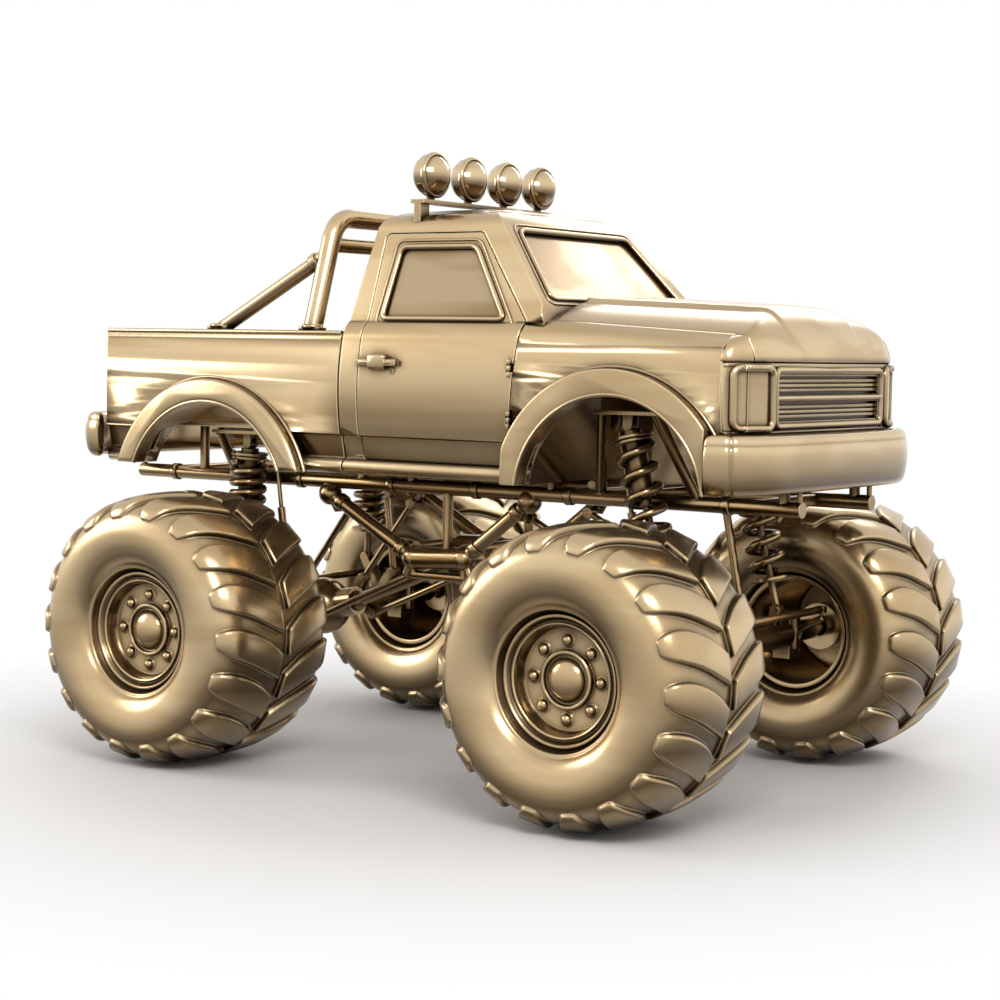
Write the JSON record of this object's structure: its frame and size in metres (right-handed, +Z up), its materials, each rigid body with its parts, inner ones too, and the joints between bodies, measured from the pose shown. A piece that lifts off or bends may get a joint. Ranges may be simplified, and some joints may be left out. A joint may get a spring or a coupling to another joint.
{
  "type": "monster truck",
  "caption": "Regular-cab pickup monster truck on a tubular frame with two steered axles, coil-over suspension, roll bar, roof lamps and tall lugged tyres, all in polished gold.",
  "frame": {"origin": "on the ground, midway along and across the truck", "axes": "+X forward, +Y to the truck's left, +Z up"},
  "size_m": [5.2259, 3.74, 3.7778],
  "materials": {
    "gold_body": "polished champagne gold",
    "gold_frame": "polished gold, darker in the recesses",
    "gold_trim": "polished champagne gold",
    "gold_wheel": "polished champagne gold",
    "gold_tyre": "gold-coated, polished",
    "gold_glass": "gold mirror coating",
    "gold_lamp": "gold mirror coating",
    "gold_interior": "dark gold"
  },
  "bodies": {
    "truck": {"cab_shell": "gold_body", "windscreen": "gold_glass", "rear_window": "gold_glass", "hood_hinges": "gold_trim", "fenders": "gold_body", "front_panel": "gold_body", "headlamps": "gold_lamp", "grille": "gold_trim", "front_bumper": "gold_trim", "rear_bumper": "gold_trim", "bed": "gold_body", "tail_lamps": "gold_lamp", "roll_bar": "gold_trim", "light_bar": "gold_trim", "roof_lamps": "gold_lamp", "frame_sides": "gold_frame", "frame_crossmembers": "gold_frame", "transfer_case": "gold_frame", "engine": "gold_frame", "front_axle": "gold_frame", "rear_axle": "gold_frame", "driveshafts": "gold_frame", "suspension_links": "gold_frame", "dampers": "gold_frame", "coilover_shocks": "gold_frame", "coilover_springs": "gold_frame", "seats": "gold_interior", "dashboard": "gold_interior"},
    "hood": {"hood": "gold_body"},
    "tailgate": {"tailgate": "gold_body"},
    "door_left": {"door_left": "gold_body", "door_glass_left": "gold_glass"},
    "door_right": {"door_right": "gold_body", "door_glass_right": "gold_glass"},
    "steering_wheel": {"steering_wheel": "gold_interior"},
    "knuckle_front_right": {"knuckle_front_right": "gold_frame"},
    "wheel_front_right": {"tyre_front_right": "gold_tyre", "rim_front_right": "gold_wheel"},
    "knuckle_front_left": {"knuckle_front_left": "gold_frame"},
    "wheel_front_left": {"tyre_front_left": "gold_tyre", "rim_front_left": "gold_wheel"},
    "tie_rod_front": {"tie_rod_front": "gold_frame"},
    "knuckle_rear_right": {"knuckle_rear_right": "gold_frame"},
    "wheel_rear_right": {"tyre_rear_right": "gold_tyre", "rim_rear_right": "gold_wheel"},
    "knuckle_rear_left": {"knuckle_rear_left": "gold_frame"},
    "wheel_rear_left": {"tyre_rear_left": "gold_tyre", "rim_rear_left": "gold_wheel"},
    "tie_rod_rear": {"tie_rod_rear": "gold_frame"}
  },
  "joints": [
    {"name": "hood_hinge", "type": "hinge", "parent": "truck", "child": "hood", "pos_m": [1.13, 0, 2.842], "axis": [0, -1, 0], "range_deg": [0, 45]},
    {"name": "tailgate_hinge", "type": "hinge", "parent": "truck", "child": "tailgate", "pos_m": [-2.3, 0, 2.195], "axis": [0, -1, 0], "range_deg": [0, 90]},
    {"name": "door_left_hinge", "type": "hinge", "parent": "truck", "child": "door_left", "pos_m": [0.915, 1.024, 2.33], "axis": [0, 0, -1], "range_deg": [0, 65]},
    {"name": "door_right_hinge", "type": "hinge", "parent": "truck", "child": "door_right", "pos_m": [0.915, -1.024, 2.33], "axis": [0, 0, 1], "range_deg": [0, 65]},
    {"name": "steer_front_right", "type": "hinge", "parent": "truck", "child": "knuckle_front_right", "pos_m": [1.775, -0.93, 0.838], "axis": [0, 0, 1], "range_deg": [-25, 25]},
    {"name": "roll_front_right", "type": "hinge", "parent": "knuckle_front_right", "child": "wheel_front_right", "pos_m": [1.775, -1.35, 0.838], "axis": [0, 1, 0], "continuous": true},
    {"name": "steer_front_left", "type": "hinge", "parent": "truck", "child": "knuckle_front_left", "pos_m": [1.775, 0.93, 0.838], "axis": [0, 0, 1], "range_deg": [-25, 25]},
    {"name": "roll_front_left", "type": "hinge", "parent": "knuckle_front_left", "child": "wheel_front_left", "pos_m": [1.775, 1.35, 0.838], "axis": [0, 1, 0], "continuous": true},
    {"name": "tie_rod_front_pivot", "type": "hinge", "parent": "knuckle_front_right", "child": "tie_rod_front", "pos_m": [1.975, -0.93, 0.998], "axis": [0, 0, 1], "range_deg": [-25, 25]},
    {"name": "steer_rear_right", "type": "hinge", "parent": "truck", "child": "knuckle_rear_right", "pos_m": [-1.275, -0.93, 0.838], "axis": [0, 0, 1], "range_deg": [-15, 15]},
    {"name": "roll_rear_right", "type": "hinge", "parent": "knuckle_rear_right", "child": "wheel_rear_right", "pos_m": [-1.275, -1.35, 0.838], "axis": [0, 1, 0], "continuous": true},
    {"name": "steer_rear_left", "type": "hinge", "parent": "truck", "child": "knuckle_rear_left", "pos_m": [-1.275, 0.93, 0.838], "axis": [0, 0, 1], "range_deg": [-15, 15]},
    {"name": "roll_rear_left", "type": "hinge", "parent": "knuckle_rear_left", "child": "wheel_rear_left", "pos_m": [-1.275, 1.35, 0.838], "axis": [0, 1, 0], "continuous": true},
    {"name": "tie_rod_rear_pivot", "type": "hinge", "parent": "knuckle_rear_right", "child": "tie_rod_rear", "pos_m": [-1.475, -0.93, 0.998], "axis": [0, 0, 1], "range_deg": [-15, 15]},
    {"name": "steering_wheel_turn", "type": "hinge", "parent": "truck", "child": "steering_wheel", "pos_m": [0.56, 0.385, 2.6], "axis": [-0.9006, 0, 0.4347], "range_deg": [-300, 300]}
  ],
  "couplings": [
    {"joint": "steer_front_left", "follows": "steer_front_right", "ratio": 1},
    {"joint": "tie_rod_front_pivot", "follows": "steer_front_right", "ratio": -1},
    {"joint": "steer_rear_left", "follows": "steer_rear_right", "ratio": 1},
    {"joint": "tie_rod_rear_pivot", "follows": "steer_rear_right", "ratio": -1},
    {"joint": "steering_wheel_turn", "follows": "steer_front_right", "ratio": 12}
  ]
}
